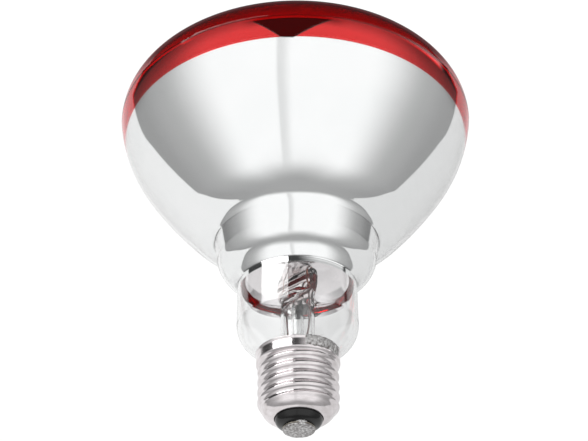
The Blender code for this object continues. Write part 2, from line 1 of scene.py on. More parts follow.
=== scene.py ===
"""Studio picture of a red-fronted infrared reflector lamp (R125) on an E27 screw cap.

Frame: metres, +Z up the lamp's axis from the flat of the centre contact at the origin to the red
front. The camera stands in front (-Y) and below, and looks up along the lamp.
"""

import math

import bmesh
import bpy
from mathutils import Matrix, Vector, noise


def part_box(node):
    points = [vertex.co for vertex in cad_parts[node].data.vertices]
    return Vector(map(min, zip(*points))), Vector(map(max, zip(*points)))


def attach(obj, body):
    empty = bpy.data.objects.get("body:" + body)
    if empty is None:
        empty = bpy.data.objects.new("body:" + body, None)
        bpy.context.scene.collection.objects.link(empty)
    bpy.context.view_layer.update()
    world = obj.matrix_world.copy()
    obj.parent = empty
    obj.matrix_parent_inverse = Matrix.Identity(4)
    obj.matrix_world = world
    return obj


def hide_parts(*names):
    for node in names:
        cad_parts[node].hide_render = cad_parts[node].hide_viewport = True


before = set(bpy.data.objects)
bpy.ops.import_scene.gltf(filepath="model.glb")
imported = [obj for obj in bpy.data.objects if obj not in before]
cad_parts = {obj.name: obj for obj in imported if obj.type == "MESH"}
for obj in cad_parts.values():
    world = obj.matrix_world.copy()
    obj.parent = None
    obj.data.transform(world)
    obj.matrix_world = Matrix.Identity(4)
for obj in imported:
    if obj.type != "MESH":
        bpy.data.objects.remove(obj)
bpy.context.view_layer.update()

MM = 0.001

# What the frame gives.
glass_low, glass_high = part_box("glass_bulb")
shell_low, shell_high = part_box("cap_shell")
mirror_low, mirror_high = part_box("mirror_coating")
red_low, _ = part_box("red_front_coating")
shield_low, shield_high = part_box("heat_shield")
filament_low, filament_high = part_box("filament")

# Glass envelope: outer surface, from the neck's end up to the dome's apex.
GLASS_WALL = 1.0 * MM
NECK_END_RADIUS = 10.6 * MM
NECK_END_Z = glass_low.z
NECK_FLARE_Z = 24.0 * MM
NECK_RIM_RADIUS = 12.2 * MM
NECK_RADIUS = 20.1 * MM
NECK_SHOULDER_RADIUS = 9.0 * MM
NECK_SHOULDER_Z = 38.0 * MM
NECK_SHOULDER_ANGLE = math.radians(48)
STEP_Z = 52.9 * MM
STEP_FILLET = 5.2 * MM
STEP_ROUND = 8.0 * MM
STEP_RADIUS = 27.15 * MM
STEP_ANGLE = math.radians(62)
STEP_LEAN = math.radians(10)
STEP_WALL = 6.5 * MM
BOWL_FILLET = 2.9 * MM
BOWL_FOOT_ANGLE = math.radians(66)
BOWL_FOCAL_LENGTH = 18.4 * MM
BOWL_VERTEX_Z = 57.7 * MM
PARABOLA_START_Z = 78.0 * MM
PARABOLA_END_Z = 97.0 * MM
BELT_RADIUS = glass_high.x
BELT_Z = 118.6 * MM
BELT_SLOPE = math.radians(8.3)
SHOULDER_RADIUS = 14.0 * MM
APEX_Z = glass_high.z
GLASS_SEGMENTS = 160
CREASE = 7  # degrees; sharper folds, such as the belt's, stay creases

# Coatings inside the glass.
FILM_GAP = 0.02 * MM
FILM = 0.06 * MM
MIRROR_LOW_Z = mirror_low.z
MIRROR_HIGH_Z = mirror_high.z
RED_LOW_Z = red_low.z - 0.4 * MM
MIRROR_EDGE_Z = RED_LOW_Z - 0.1 * MM

# E27 screw cap.
THREAD_PITCH = 3.629 * MM
THREAD_ROOT = 12.1 * MM
THREAD_DEPTH = 1.1 * MM
THREAD_ROUND = (THREAD_PITCH**2 / 16 + THREAD_DEPTH**2 / 4) / THREAD_DEPTH
THREAD_CREST_Z = 7.1 * MM
THREAD_FADE = (6.6 * MM, 8.8 * MM)
COLLAR_FADE = (22.3 * MM, 23.6 * MM)
COLLAR_RADIUS = 13.65 * MM
COLLAR_LIP_Z = 26.2 * MM
SHELL_RIM_Z = shell_high.z
SHELL_RIM_RADIUS = shell_high.x
SHELL_WALL = 0.5 * MM
SHELL_BORE = 11.6 * MM
LIP_RADIUS = 7.9 * MM
LIP_ROUND = 4.2 * MM
LIP_Z = shell_low.z
COLLAR_BORE = 13.1 * MM
SHELL_SEGMENTS = 180
SHELL_ROWS = 200

# Insulator, contact and solder.
INSULATOR_HOLE = 1.6 * MM
INSULATOR_FACE_Z = 1.6 * MM
INSULATOR_TOP_Z = 9.8 * MM
CONTACT_RADIUS = 5.2 * MM
CONTACT_Z = (0.9 * MM, 1.3 * MM)
CONTACT_HOLE = 1.0 * MM
SOLDER_FLAT = 4.3 * MM
SOLDER_RADIUS = 5.0 * MM
SIDE_SOLDER_ARC = (math.radians(10), math.radians(70))
SIDE_SOLDER_THICKNESS = 0.7 * MM
SIDE_SOLDER_LOW_Z = 23.9 * MM

# Stem.
STEM_RADIUS = 5.6 * MM
STEM_WALL = 0.9 * MM
STEM_RIM_RADIUS = 9.3 * MM
STEM_RIM_Z = 19.2 * MM
PRESS_HALF_WIDTH = 8.4 * MM
PRESS_HALF_THICKNESS = 2.2 * MM
PRESS_Z = (53.0 * MM, 62.2 * MM)
PRESS_YAW = math.radians(-43)
PRESS_SQUARENESS = 3.4
CAVITY_TOP_Z = 50.6 * MM
STEM_SEGMENTS = 72
TUBE_SEGMENTS = 40
SHIELD_SEGMENTS = 120
SHIELD_CLEARANCE = 0.1 * MM

# Lead wires, filament and its supports.
LEAD_OFFSET = 5.2 * MM
SEAL_WIRE = 0.25 * MM
OUTER_WIRE = 0.3 * MM
INNER_WIRE = 0.4 * MM
SUPPORT_WIRE = 0.2 * MM
FILAMENT_RING = 11.0 * MM
FILAMENT_RADIUS = 0.68 * MM
FILAMENT_WIRE = 0.11 * MM
FILAMENT_TURNS = 120
FILAMENT_Z = (filament_low.z + filament_high.z) / 2
FILAMENT_GAP = math.radians(60)
SUPPORTS = 5
HOOK_RADIUS = 1.4 * MM
BUTTON_RADIUS = 3.0 * MM
BUTTON_Z = 72.0 * MM
ARBOR_RADIUS = 1.4 * MM
EXHAUST_RADIUS = 2.0 * MM
EXHAUST_BORE = 1.3 * MM
EXHAUST_Z = (12.5 * MM, 50.2 * MM)
LEAD_TURN = math.radians(18)
SIDE_LEAD_ANGLE = math.radians(41)

# Camera and studio.
CAMERA_ELEVATION = math.radians(-34.1)
CAMERA_DISTANCE = 0.48206
CAMERA_AIM_Z = 80.12 * MM
CAMERA_SIDESTEP = -0.86 * MM
CAMERA_ROLL = math.radians(0.6)
CAMERA_LENS = 85.3
FLOOR_Z = -0.35
FLOOR_RADIUS = 4.0
# A dark card with a faint glow, there only to paint a dark patch of shade into the lamp's reflections.
PAINTED_SHADE_Y = -0.110
PAINTED_SHADE_OUTLINE = (
    (-11.0 * MM, 115.9 * MM),
    (-1.0 * MM, 115.1 * MM),
    (33.0 * MM, 141.5 * MM),
    (-37.0 * MM, 141.5 * MM),
)
PAINTED_SHADE_GLOW = 0.07
FLOOR_SEGMENTS = 96
FLOOR_RINGS = (0.05, 0.15, 0.4, 1.0)  # shares of its radius

# Strengths of the light around the lamp.
WALL_LIGHT = (1.10, 0.47)  # middle and sides
WALL_SIDE_DIM = 0.10
WALL_TOP_SHARE = (0.08, 0.55)  # what is left at the wall's top, in the middle and at the sides
GROUND_LIGHT = 0.43
SLIT_DEPTH = 0.22
LEFT_BOX_LIGHT = 5.0
RIGHT_BOX_LIGHT = (1.5, 0.6)  # at its foot and above
UPPER_LIGHT = 0.06
TENT_LIGHT = (0.97, 0.80)  # left and right
TENT_EDGE = (0.288, 0.296)
TENT_EDGE_SHIFT = 0.18
ROOF_LIGHT = 0.12
BACKDROP_LIGHT = 1.05


# Materials.


class Look:
    """A Principled material whose inputs are fed by procedural nodes in object space."""

    def __init__(self, name, **constants):
        self.material = bpy.data.materials.new(name)
        self.material.use_nodes = True
        self.tree = self.material.node_tree
        self.shader = self.tree.nodes["Principled BSDF"]
        for key, value in constants.items():
            self.shader.inputs[key.replace("_", " ")].default_value = value
        self.place = self.tree.nodes.new("ShaderNodeTexCoord").outputs["Object"]

    def noise(self, scale, detail=3.0, roughness=0.5, stretch=(1, 1, 1)):
        place = self.place
        if stretch != (1, 1, 1):
            mapping = self.tree.nodes.new("ShaderNodeMapping")
            mapping.inputs["Scale"].default_value = stretch
            self.tree.links.new(place, mapping.inputs["Vector"])
            place = mapping.outputs["Vector"]
        node = self.tree.nodes.new("ShaderNodeTexNoise")
        node.inputs["Scale"].default_value = scale
        node.inputs["Detail"].default_value = detail
        node.inputs["Roughness"].default_value = roughness
        self.tree.links.new(place, node.inputs["Vector"])
        return node.outputs["Fac"]

    def height(self, low, high):
        """0 below low and 1 above high."""
        split = self.tree.nodes.new("ShaderNodeSeparateXYZ")
        self.tree.links.new(self.place, split.inputs["Vector"])
        span = self.tree.nodes.new("ShaderNodeMapRange")
        span.inputs["From Min"].default_value = low
        span.inputs["From Max"].default_value = high
        self.tree.links.new(split.outputs["Z"], span.inputs["Value"])
        return span.outputs["Result"]

    def colour(self, source, *stops):
        """Base colour from a ramp of (position, (r, g, b)) stops."""
        ramp = self.tree.nodes.new("ShaderNodeValToRGB")
        elements = ramp.color_ramp.elements
        while len(elements) < len(stops):
            elements.new(0.5)
        for element, (position, shade) in zip(elements, stops):
            element.position = position
            element.color = (*shade, 1.0)
        self.tree.links.new(source, ramp.inputs["Fac"])
        self.tree.links.new(ramp.outputs["Color"], self.shader.inputs["Base Color"])
        return self

    def roughness(self, source, low, high):
        span = self.tree.nodes.new("ShaderNodeMapRange")
        span.inputs["To Min"].default_value = low
        span.inputs["To Max"].default_value = high
        self.tree.links.new(source, span.inputs["Value"])
        self.tree.links.new(span.outputs["Result"], self.shader.inputs["Roughness"])
        return self

    def bump(self, source, depth):
        node = self.tree.nodes.new("ShaderNodeBump")
        node.inputs["Distance"].default_value = depth
        self.tree.links.new(source, node.inputs["Height"])
        self.tree.links.new(node.outputs["Normal"], self.shader.inputs["Normal"])
        return self


def make_looks():
    looks = {}

    glass = Look("clear_glass", Transmission_Weight=1.0, IOR=1.5)
    ruby_edge = glass.height(RED_LOW_Z, RED_LOW_Z + 0.1 * MM)
    glass.colour(ruby_edge, (0.0, (0.975, 0.98, 0.98)), (1.0, (0.90, 0.10, 0.12)))
    glass.roughness(glass.noise(60), 0.0, 0.02)
    looks["clear_glass"] = glass.material

    stem = Look("stem_glass", Transmission_Weight=1.0, IOR=1.5)
    stem.colour(stem.height(43 * MM, 54 * MM), (0.0, (0.98, 0.98, 0.98)), (1.0, (0.95, 0.90, 0.89)))
    stem.roughness(stem.noise(200), 0.0, 0.04)
    stem.bump(stem.noise(220, 2.0, stretch=(1, 1, 0.25)), 0.15 * MM)
    looks["stem_glass"] = stem.material

    mirror = Look("aluminium_mirror", Metallic=1.0)
    mirror.colour(mirror.noise(40), (0.3, (0.90, 0.905, 0.905)), (0.7, (0.93, 0.93, 0.93)))
    mirror.roughness(mirror.noise(120), 0.02, 0.05)
    mirror.bump(mirror.noise(26, 1.0), 0.05 * MM)
    looks["aluminium_mirror"] = mirror.material

    ruby = Look("ruby_coating", Transmission_Weight=1.0, IOR=1.02)
    ruby.colour(ruby.noise(35), (0.3, (0.94, 0.014, 0.020)), (0.7, (0.98, 0.022, 0.030)))
    ruby.roughness(ruby.noise(90), 0.0, 0.03)
    looks["ruby_coating"] = ruby.material

    nickel = Look("nickel_plate", Metallic=1.0)
    nickel.colour(
        nickel.noise(320, 4.0, stretch=(1, 1, 3)),
        (0.25, (0.65, 0.61, 0.61)),
        (0.55, (0.77, 0.73, 0.74)),
        (0.8, (0.84, 0.80, 0.81)),
    )
    nickel.roughness(nickel.noise(500, 3.0), 0.07, 0.20)
    nickel.bump(nickel.noise(900, 3.0), 0.01 * MM)
    looks["nickel_plate"] = nickel.material

    cement = Look("capping_cement")
    cement.colour(cement.noise(500, 4.0), (0.3, (0.40, 0.35, 0.28)), (0.7, (0.62, 0.56, 0.46)))
    cement.roughness(cement.noise(300), 0.8, 1.0)
    cement.bump(cement.noise(900), 0.2 * MM)
    looks["capping_cement"] = cement.material

    vitrite = Look("black_vitrite", IOR=1.45)
    vitrite.colour(vitrite.noise(220, 4.0), (0.35, (0.001, 0.001, 0.001)), (0.75, (0.005, 0.005, 0.005)))
    vitrite.roughness(vitrite.noise(350, 4.0), 0.05, 0.16)
    vitrite.bump(vitrite.noise(450, 3.0), 0.03 * MM)
    looks["black_vitrite"] = vitrite.material

    brass = Look("contact_brass", Metallic=1.0)
    brass.colour(brass.noise(400), (0.3, (0.22, 0.20, 0.17)), (0.7, (0.40, 0.37, 0.32)))
    brass.roughness(brass.noise(500), 0.25, 0.45)
    looks["contact_brass"] = brass.material

    solder = Look("tin_solder", Metallic=0.85)
    solder.colour(
        solder.noise(1100, 4.0, 0.7),
        (0.32, (0.13, 0.11, 0.10)),
        (0.50, (0.46, 0.45, 0.45)),
        (0.70, (0.88, 0.88, 0.87)),
    )
    solder.roughness(solder.noise(700), 0.35, 0.65)
    solder.bump(solder.noise(1000, 3.0, 0.6), 0.18 * MM)
    looks["tin_solder"] = solder.material

    sheet = Look("aluminium_sheet", Metallic=1.0)
    sheet.colour(sheet.noise(120), (0.3, (0.84, 0.81, 0.82)), (0.7, (0.90, 0.86, 0.87)))
    sheet.roughness(sheet.noise(260), 0.06, 0.14)
    sheet.bump(sheet.noise(160, 2.0), 0.04 * MM)
    looks["aluminium_sheet"] = sheet.material

    for name, dark, light, low, high in (
        ("nickel_wire", (0.40, 0.38, 0.35), (0.62, 0.60, 0.57), 0.25, 0.45),
        ("tungsten_coil", (0.20, 0.20, 0.22), (0.34, 0.34, 0.36), 0.35, 0.55),
        ("molybdenum_wire", (0.34, 0.34, 0.36), (0.50, 0.50, 0.52), 0.30, 0.50),
        ("dumet_wire", (0.40, 0.14, 0.10), (0.62, 0.27, 0.18), 0.35, 0.55),
        ("copper_wire", (0.15, 0.07, 0.08), (0.28, 0.15, 0.14), 0.30, 0.50),
    ):
        wire_look = Look(name, Metallic=1.0)
        wire_look.colour(wire_look.noise(600), (0.3, dark), (0.7, light))
        wire_look.roughness(wire_look.noise(900), low, high)
        looks[name] = wire_look.material
    return looks


LOOKS = make_looks()


def keep(made, slot, *nodes):
    """A finished piece: it rides on the lamp and stands for its CAD nodes; the slot argument is not used.
    """
    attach(made, "root")
    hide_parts(*nodes)
    return made


# Profiles are lists of (radius, z).


def front_angle(angle):
    """An angle measured from the front (-Y) towards +X, as an angle about +Z from +X."""
    return angle - math.pi / 2


def polar(radius, angle, z):
    return Vector((radius * math.cos(angle), radius * math.sin(angle), z))


def smoothstep(low, high, value):
    t = min(max((value - low) / (high - low), 0.0), 1.0)
    return t * t * (3 - 2 * t)


def arc(centre, radius, start, end, count):
    """Points on an arc in the profile plane; angle 0 points away from the axis."""
    angles = [start + (end - start) * i / (count - 1) for i in range(count)]
    return [(centre[0] + radius * math.cos(a), centre[1] + radius * math.sin(a)) for a in angles]


def blend(start, start_lean, end, end_lean, count):
    """A curve between two points whose tangents lean outwards from +Z by the given angles."""
    reach = ((end[0] - start[0]) - (end[1] - start[1]) * math.tan(end_lean)) / (
        math.tan(start_lean) - math.tan(end_lean)
    )
    corner = (start[0] + reach * math.tan(start_lean), start[1] + reach)
    steps = [i / count for i in range(1, count + 1)]
    return [
        tuple((1 - t) ** 2 * a + 2 * t * (1 - t) * b + t**2 * c for a, b, c in zip(start, corner, end))
        for t in steps
    ]


def smooth_path(points, per_span):
    """A smooth curve through points of any dimension."""
    points = [Vector(p) for p in points]
    ends = [points[0] * 2 - points[1]] + points + [points[-1] * 2 - points[-2]]
    path = [points[0]]
    for a, b, c, d in zip(ends, ends[1:], ends[2:], ends[3:]):
        for i in range(1, per_span + 1):
            t = i / per_span
            cubic = (3 * b - a - 3 * c + d) * t**3 + (2 * a - 5 * b + 4 * c - d) * t**2
            path.append((cubic + (c - a) * t + 2 * b) * 0.5)
    return path


def parabola_radius(z):
    return math.sqrt(4 * BOWL_FOCAL_LENGTH * (z - BOWL_VERTEX_Z))


def parabola_lean(z):
    return math.atan(2 * BOWL_FOCAL_LENGTH / parabola_radius(z))


def neck_profile():
    tube = [(NECK_END_RADIUS, NECK_END_Z), (NECK_END_RADIUS, NECK_FLARE_Z - 1.0 * MM)]
    centre = (NECK_RADIUS - NECK_SHOULDER_RADIUS, NECK_SHOULDER_Z)
    shoulder = arc(centre, NECK_SHOULDER_RADIUS, -NECK_SHOULDER_ANGLE, 0, 24)
    throat = smooth_path(
        [
            (NECK_END_RADIUS, NECK_FLARE_Z),
            (NECK_END_RADIUS + 0.5 * MM, NECK_FLARE_Z + 1.6 * MM),
            (NECK_RIM_RADIUS, SHELL_RIM_Z),
            shoulder[0],
        ],
        5,
    )
    straight = [(NECK_RADIUS, NECK_SHOULDER_Z + (STEP_Z - NECK_SHOULDER_Z) * i / 12) for i in range(1, 12)]
    return tube + [tuple(p) for p in throat[:-1]] + shoulder + straight


def step_profile():
    fillet = arc((NECK_RADIUS + STEP_FILLET, STEP_Z), STEP_FILLET, math.pi, math.pi - STEP_ANGLE, 16)
    round_start = STEP_RADIUS - STEP_ROUND * (1 - math.cos(STEP_ANGLE))
    wall_z = (
        fillet[-1][1]
        + (round_start - fillet[-1][0]) / math.tan(STEP_ANGLE)
        + STEP_ROUND * math.sin(STEP_ANGLE)
    )
    rounded = arc((STEP_RADIUS - STEP_ROUND, wall_z), STEP_ROUND, -STEP_ANGLE, -STEP_LEAN, 24)
    top = (rounded[-1][0] + STEP_WALL * math.tan(STEP_LEAN), rounded[-1][1] + STEP_WALL)
    foot = (top[0] + BOWL_FILLET * math.cos(STEP_LEAN), top[1] - BOWL_FILLET * math.sin(STEP_LEAN))
    return fillet + rounded + arc(foot, BOWL_FILLET, math.pi - STEP_LEAN, math.pi - BOWL_FOOT_ANGLE, 14)


def bowl_profile(foot):
    low = (parabola_radius(PARABOLA_START_Z), PARABOLA_START_Z)
    high = (parabola_radius(PARABOLA_END_Z), PARABOLA_END_Z)
    points = blend(foot, BOWL_FOOT_ANGLE, low, parabola_lean(PARABOLA_START_Z), 12)
    steps = 18
    for i in range(1, steps + 1):
        z = PARABOLA_START_Z + (PARABOLA_END_Z - PARABOLA_START_Z) * i / steps
        points.append((parabola_radius(z), z))
    return points + blend(high, parabola_lean(PARABOLA_END_Z), (BELT_RADIUS, BELT_Z), BELT_SLOPE, 24)


def dome_profile():
    """The rounded shoulder above the belt and the shallow crown, which meet at one slope."""
    inner = BELT_RADIUS - SHOULDER_RADIUS
    rise = APEX_Z - BELT_Z
    crown = (inner**2 + rise**2 - SHOULDER_RADIUS**2) / (2 * (rise - SHOULDER_RADIUS))
    centre_z = APEX_Z - crown
    join = math.atan2(BELT_Z - centre_z, inner)
    shoulder = arc((inner, BELT_Z), SHOULDER_RADIUS, 0, join, 30)
    return shoulder[1:] + arc((0, centre_z), crown, join, math.pi / 2, 40)[1:]


def glass_profile():
    lower = neck_profile() + step_profile()
    profile = lower + bowl_profile(lower[-1]) + dome_profile()
    return profile[:-1] + [(0.0, APEX_Z)]


def inset(profile, depth):
    """The profile moved into the lamp by depth, square to itself; a point on the axis stays on it."""
    moved = []
    for i, (radius, z) in enumerate(profile):
        before = profile[max(i - 1, 0)]
        after = profile[min(i + 1, len(profile) - 1)]
        along = Vector((after[0] - before[0], after[1] - before[1])).normalized()
        if radius == 0.0:
            moved.append((0.0, z - depth))
        else:
            moved.append((radius - along.y * depth, z + along.x * depth))
    return moved


def between(profile, low, high):
    """The stretch of a rising profile between two heights."""
    kept = []
    for (r0, z0), (r1, z1) in zip(profile, profile[1:]):
        for limit in (low, high):
            if z0 < limit < z1:
                kept.append((r0 + (r1 - r0) * (limit - z0) / (z1 - z0), limit))
        if low <= z1 <= high:
            kept.append((r1, z1))
    return sorted(kept, key=lambda point: point[1])


# Solids are made from rings of points.


def round_ring(radius, z, segments):
    if radius == 0.0:
        return [Vector((0, 0, z))]
    return [polar(radius, 2 * math.pi * i / segments, z) for i in range(segments)]


def oval_ring(z, half_width, half_thickness, exponent, segments):
    """A rounded outline whose long direction lies along PRESS_YAW."""
    ring = []
    turn = Matrix.Rotation(PRESS_YAW, 3, "Z")
    for i in range(segments):
        c, s = math.cos(2 * math.pi * i / segments), math.sin(2 * math.pi * i / segments)
        x = half_width * math.copysign(abs(c) ** (2 / exponent), c)
        y = half_thickness * math.copysign(abs(s) ** (2 / exponent), s)
        ring.append(turn @ Vector((x, y, 0)) + Vector((0, 0, z)))
    return ring


def from_bmesh(name, mesh, look, sharp=35):
    bmesh.ops.recalc_face_normals(mesh, faces=mesh.faces)
    data = bpy.data.meshes.new(name)
    mesh.to_mesh(data)
    mesh.free()
    data.shade_smooth()
    data.set_sharp_from_angle(angle=math.radians(sharp))
    data.materials.append(LOOKS[look])
    made = bpy.data.objects.new(name, data)
    bpy.context.scene.collection.objects.link(made)
    return made


def skin(mesh, low, high):
    """Faces between two rings; a ring of one point is a pole."""
    count = max(len(low), len(high))
    for i in range(count):
        j = (i + 1) % count
        if len(low) == 1:
            mesh.faces.new((low[0], high[j], high[i]))
        elif len(high) == 1:
            mesh.faces.new((low[i], low[j], high[0]))
        else:
            mesh.faces.new((low[i], low[j], high[j], high[i]))


def loft(name, rings, look, endless=False, sharp=35):
    """A solid through the rings: capped or ending in a pole at both ends, or endless."""
    mesh = bmesh.new()
    loops = [[mesh.verts.new(point) for point in ring] for ring in rings]
    for low, high in zip(loops, loops[1:]):
        skin(mesh, low, high)
    if endless:
        skin(mesh, loops[-1], loops[0])
    else:
        for end in (loops[0], loops[-1]):
            if len(end) > 1:
                mesh.faces.new(end)
    return from_bmesh(name, mesh, look, sharp)


def turned(name, outline, look, segments, endless=True, sharp=35):
    return loft(name, [round_ring(r, z, segments) for r, z in outline], look, endless, sharp)


def softened(outline, radius, count=4):
    """The closed outline with its corners rounded."""
    rounded = []
    for i, corner in enumerate(outline):
        corner = Vector(corner)
        before = Vector(outline[i - 1]) - corner
        after = Vector(outline[(i + 1) % len(outline)]) - corner
        reach = min(radius, before.length / 2.2, after.length / 2.2)
        start = corner + before.normalized() * reach
        end = corner + after.normalized() * reach
        for k in range(count + 1):
            t = k / count
            rounded.append(tuple((1 - t) ** 2 * start + 2 * t * (1 - t) * corner + t**2 * end))
    return rounded


def wire(name, points, radius, look, resolution=3):
    curve = bpy.data.curves.new(name, "CURVE")
    curve.dimensions = "3D"
    curve.bevel_depth = radius
    curve.bevel_resolution = resolution
    curve.use_fill_caps = True
    spline = curve.splines.new("POLY")
    spline.points.add(len(points) - 1)
    for target, point in zip(spline.points, points):
        target.co = (*point, 1.0)
    spline.use_smooth = True
    curve.materials.append(LOOKS[look])
    made = bpy.data.objects.new(name, curve)
    bpy.context.scene.collection.objects.link(made)
    return made


# Glass and coatings.


def build_glass():
    outer = glass_profile()
    inner = inset(outer, GLASS_WALL)
    wall = inner[::-1] + outer
    envelope = turned("envelope_glass", wall, "clear_glass", GLASS_SEGMENTS, endless=False, sharp=CREASE)
    keep(envelope, "clear_glass", "glass_bulb")

    def film(depth, low, high):
        return between(inset(outer, GLASS_WALL + depth), low, high)

    behind = FILM_GAP * 2 + FILM
    face = film(FILM_GAP, MIRROR_LOW_Z, MIRROR_EDGE_Z) + film(behind, RED_LOW_Z, MIRROR_HIGH_Z)
    back = film(FILM_GAP + FILM, MIRROR_LOW_Z, MIRROR_EDGE_Z)
    back += film(behind + FILM, RED_LOW_Z, MIRROR_HIGH_Z)
    keep(
        turned("mirror_film", face + back[::-1], "aluminium_mirror", GLASS_SEGMENTS, sharp=CREASE),
        "aluminium_mirror",
        "mirror_coating",
    )
    top = [(0.0, APEX_Z - GLASS_WALL - FILM_GAP)]
    low_top = [(0.0, APEX_Z - GLASS_WALL - FILM_GAP - FILM)]
    outside = film(FILM_GAP, RED_LOW_Z, 1.0)[:-1] + top
    inside = film(FILM_GAP + FILM, RED_LOW_Z, 1.0)[:-1] + low_top
    layers = inside[::-1] + outside
    ruby = turned("ruby_film", layers, "ruby_coating", GLASS_SEGMENTS, endless=False, sharp=CREASE)
    keep(ruby, "ruby_coating", "red_front_coating")


# Stem, arbor and exhaust tube.


def build_stem():
    low, top = PRESS_Z
    bore = STEM_RADIUS - STEM_WALL
    cavity = [
        (CAVITY_TOP_Z, 6.2 * MM, 0.6 * MM, 2),
        (CAVITY_TOP_Z - 0.5 * MM, 6.5 * MM, 1.3 * MM, 2),
        (CAVITY_TOP_Z - 1.4 * MM, 6.6 * MM, 2.1 * MM, 2),
        (CAVITY_TOP_Z - 3.1 * MM, 5.9 * MM, 3.2 * MM, 2),
        (CAVITY_TOP_Z - 5.6 * MM, bore, 4.3 * MM, 2),
        (CAVITY_TOP_Z - 7.6 * MM, bore, bore, 2),
        (36.0 * MM, bore, bore, 2),
        (29.0 * MM, bore, bore, 2),
        (25.5 * MM, 5.3 * MM, 5.3 * MM, 2),
        (22.5 * MM, 6.7 * MM, 6.7 * MM, 2),
        (20.0 * MM, 8.4 * MM, 8.4 * MM, 2),
    ]
    outside = [
        (20.2 * MM, 9.2 * MM, 9.2 * MM, 2),
        (22.5 * MM, 7.6 * MM, 7.6 * MM, 2),
        (25.5 * MM, 6.2 * MM, 6.2 * MM, 2),
        (29.0 * MM, STEM_RADIUS, STEM_RADIUS, 2),
        (36.0 * MM, STEM_RADIUS, STEM_RADIUS, 2),
        (low - 7.0 * MM, STEM_RADIUS, STEM_RADIUS, 2),
        (low - 4.5 * MM, 6.6 * MM, 4.6 * MM, 2),
        (low - 2.0 * MM, 8.0 * MM, 3.0 * MM, 2.7),
        (low, PRESS_HALF_WIDTH, PRESS_HALF_THICKNESS, PRESS_SQUARENESS),
        (top - 1.2 * MM, PRESS_HALF_WIDTH, PRESS_HALF_THICKNESS, PRESS_SQUARENESS),
        (top - 0.4 * MM, PRESS_HALF_WIDTH - 0.25 * MM, PRESS_HALF_THICKNESS - 0.25 * MM, PRESS_SQUARENESS),
        (top, PRESS_HALF_WIDTH - 1.0 * MM, PRESS_HALF_THICKNESS - 1.0 * MM, PRESS_SQUARENESS),
    ]
    rim = [(STEM_RIM_Z, 8.6 * MM, 8.6 * MM, 2), (STEM_RIM_Z, STEM_RIM_RADIUS, STEM_RIM_RADIUS, 2)]
    stations = smooth_path(cavity, 5) + [Vector(s) for s in rim] + smooth_path(outside, 5)
    keep(
        loft("stem_glass_flare", [oval_ring(*s, STEM_SEGMENTS) for s in stations], "stem_glass", sharp=50),
        "stem_glass",
        "stem_flare",
    )

    tip, mouth = EXHAUST_Z
    bore_line = [
        (0.0, tip + 3.0 * MM),
        (0.9 * MM, tip + 4.0 * MM),
        (EXHAUST_BORE, tip + 6.0 * MM),
        (EXHAUST_BORE, mouth - 6.0 * MM),
        (EXHAUST_BORE, mouth - 3.0 * MM),
        (0.6 * MM, mouth),
    ]
    skin_line = [
        (1.0 * MM, mouth),
        (EXHAUST_RADIUS, mouth - 4.0 * MM),
        (EXHAUST_RADIUS, mouth - 8.0 * MM),
        (EXHAUST_RADIUS, tip + 5.0 * MM),
        (1.5 * MM, tip + 2.0 * MM),
        (0.5 * MM, tip + 0.2 * MM),
    ]
    outline = [tuple(p) for p in smooth_path(bore_line, 4) + smooth_path(skin_line, 4)] + [(0.0, tip)]
    outline[0] = (0.0, tip + 3.0 * MM)
    keep(
        turned("exhaust_glass_tube", outline, "stem_glass", TUBE_SEGMENTS, endless=False, sharp=50),
        "stem_glass",
        "exhaust_tube",
    )

    half = BUTTON_RADIUS * 0.6
    foot = PRESS_Z[1]
    turns = [math.radians(-58 + 148 * i / 20) for i in range(20)]
    ball = [(BUTTON_RADIUS * math.cos(a), BUTTON_Z + half * math.sin(a)) for a in turns]
    rod = [
        (0.0, foot + 0.2 * MM),
        (ARBOR_RADIUS, foot + 0.3 * MM),
        (ARBOR_RADIUS, BUTTON_Z - half - 1.2 * MM),
        (ARBOR_RADIUS + 0.1 * MM, BUTTON_Z - half - 0.4 * MM),
    ]
    outline = rod + ball + [(0.0, BUTTON_Z + half)]
    keep(
        turned("arbor_glass_rod", outline, "stem_glass", TUBE_SEGMENTS, endless=False, sharp=50),
        "stem_glass",
        "arbor_rod",
    )


def build_heat_shield():
    """A polished disc with a slot that fits round the pinch."""
    low, high = shield_low.z, shield_high.z
    edge = 0.1 * MM
    half_width = PRESS_HALF_WIDTH + SHIELD_CLEARANCE
    half_thickness = PRESS_HALF_THICKNESS + SHIELD_CLEARANCE
    slot = [
        oval_ring(z, half_width, half_thickness, PRESS_SQUARENESS, SHIELD_SEGMENTS) for z in (high, low)
    ]
    rim = [(-edge, low), (-edge / 3, low + edge / 3), (0.0, low + edge), (0.0, high - edge), (-edge, high)]
    angles = [PRESS_YAW + 2 * math.pi * i / SHIELD_SEGMENTS for i in range(SHIELD_SEGMENTS)]
    rim_rings = [[polar(shield_high.x + r, angle, z) for angle in angles] for r, z in rim]
    disc = loft("heat_shield_disc", slot + rim_rings, "aluminium_sheet", endless=True)
    keep(disc, "aluminium_sheet", "heat_shield")


# Filament, supports and lead wires.


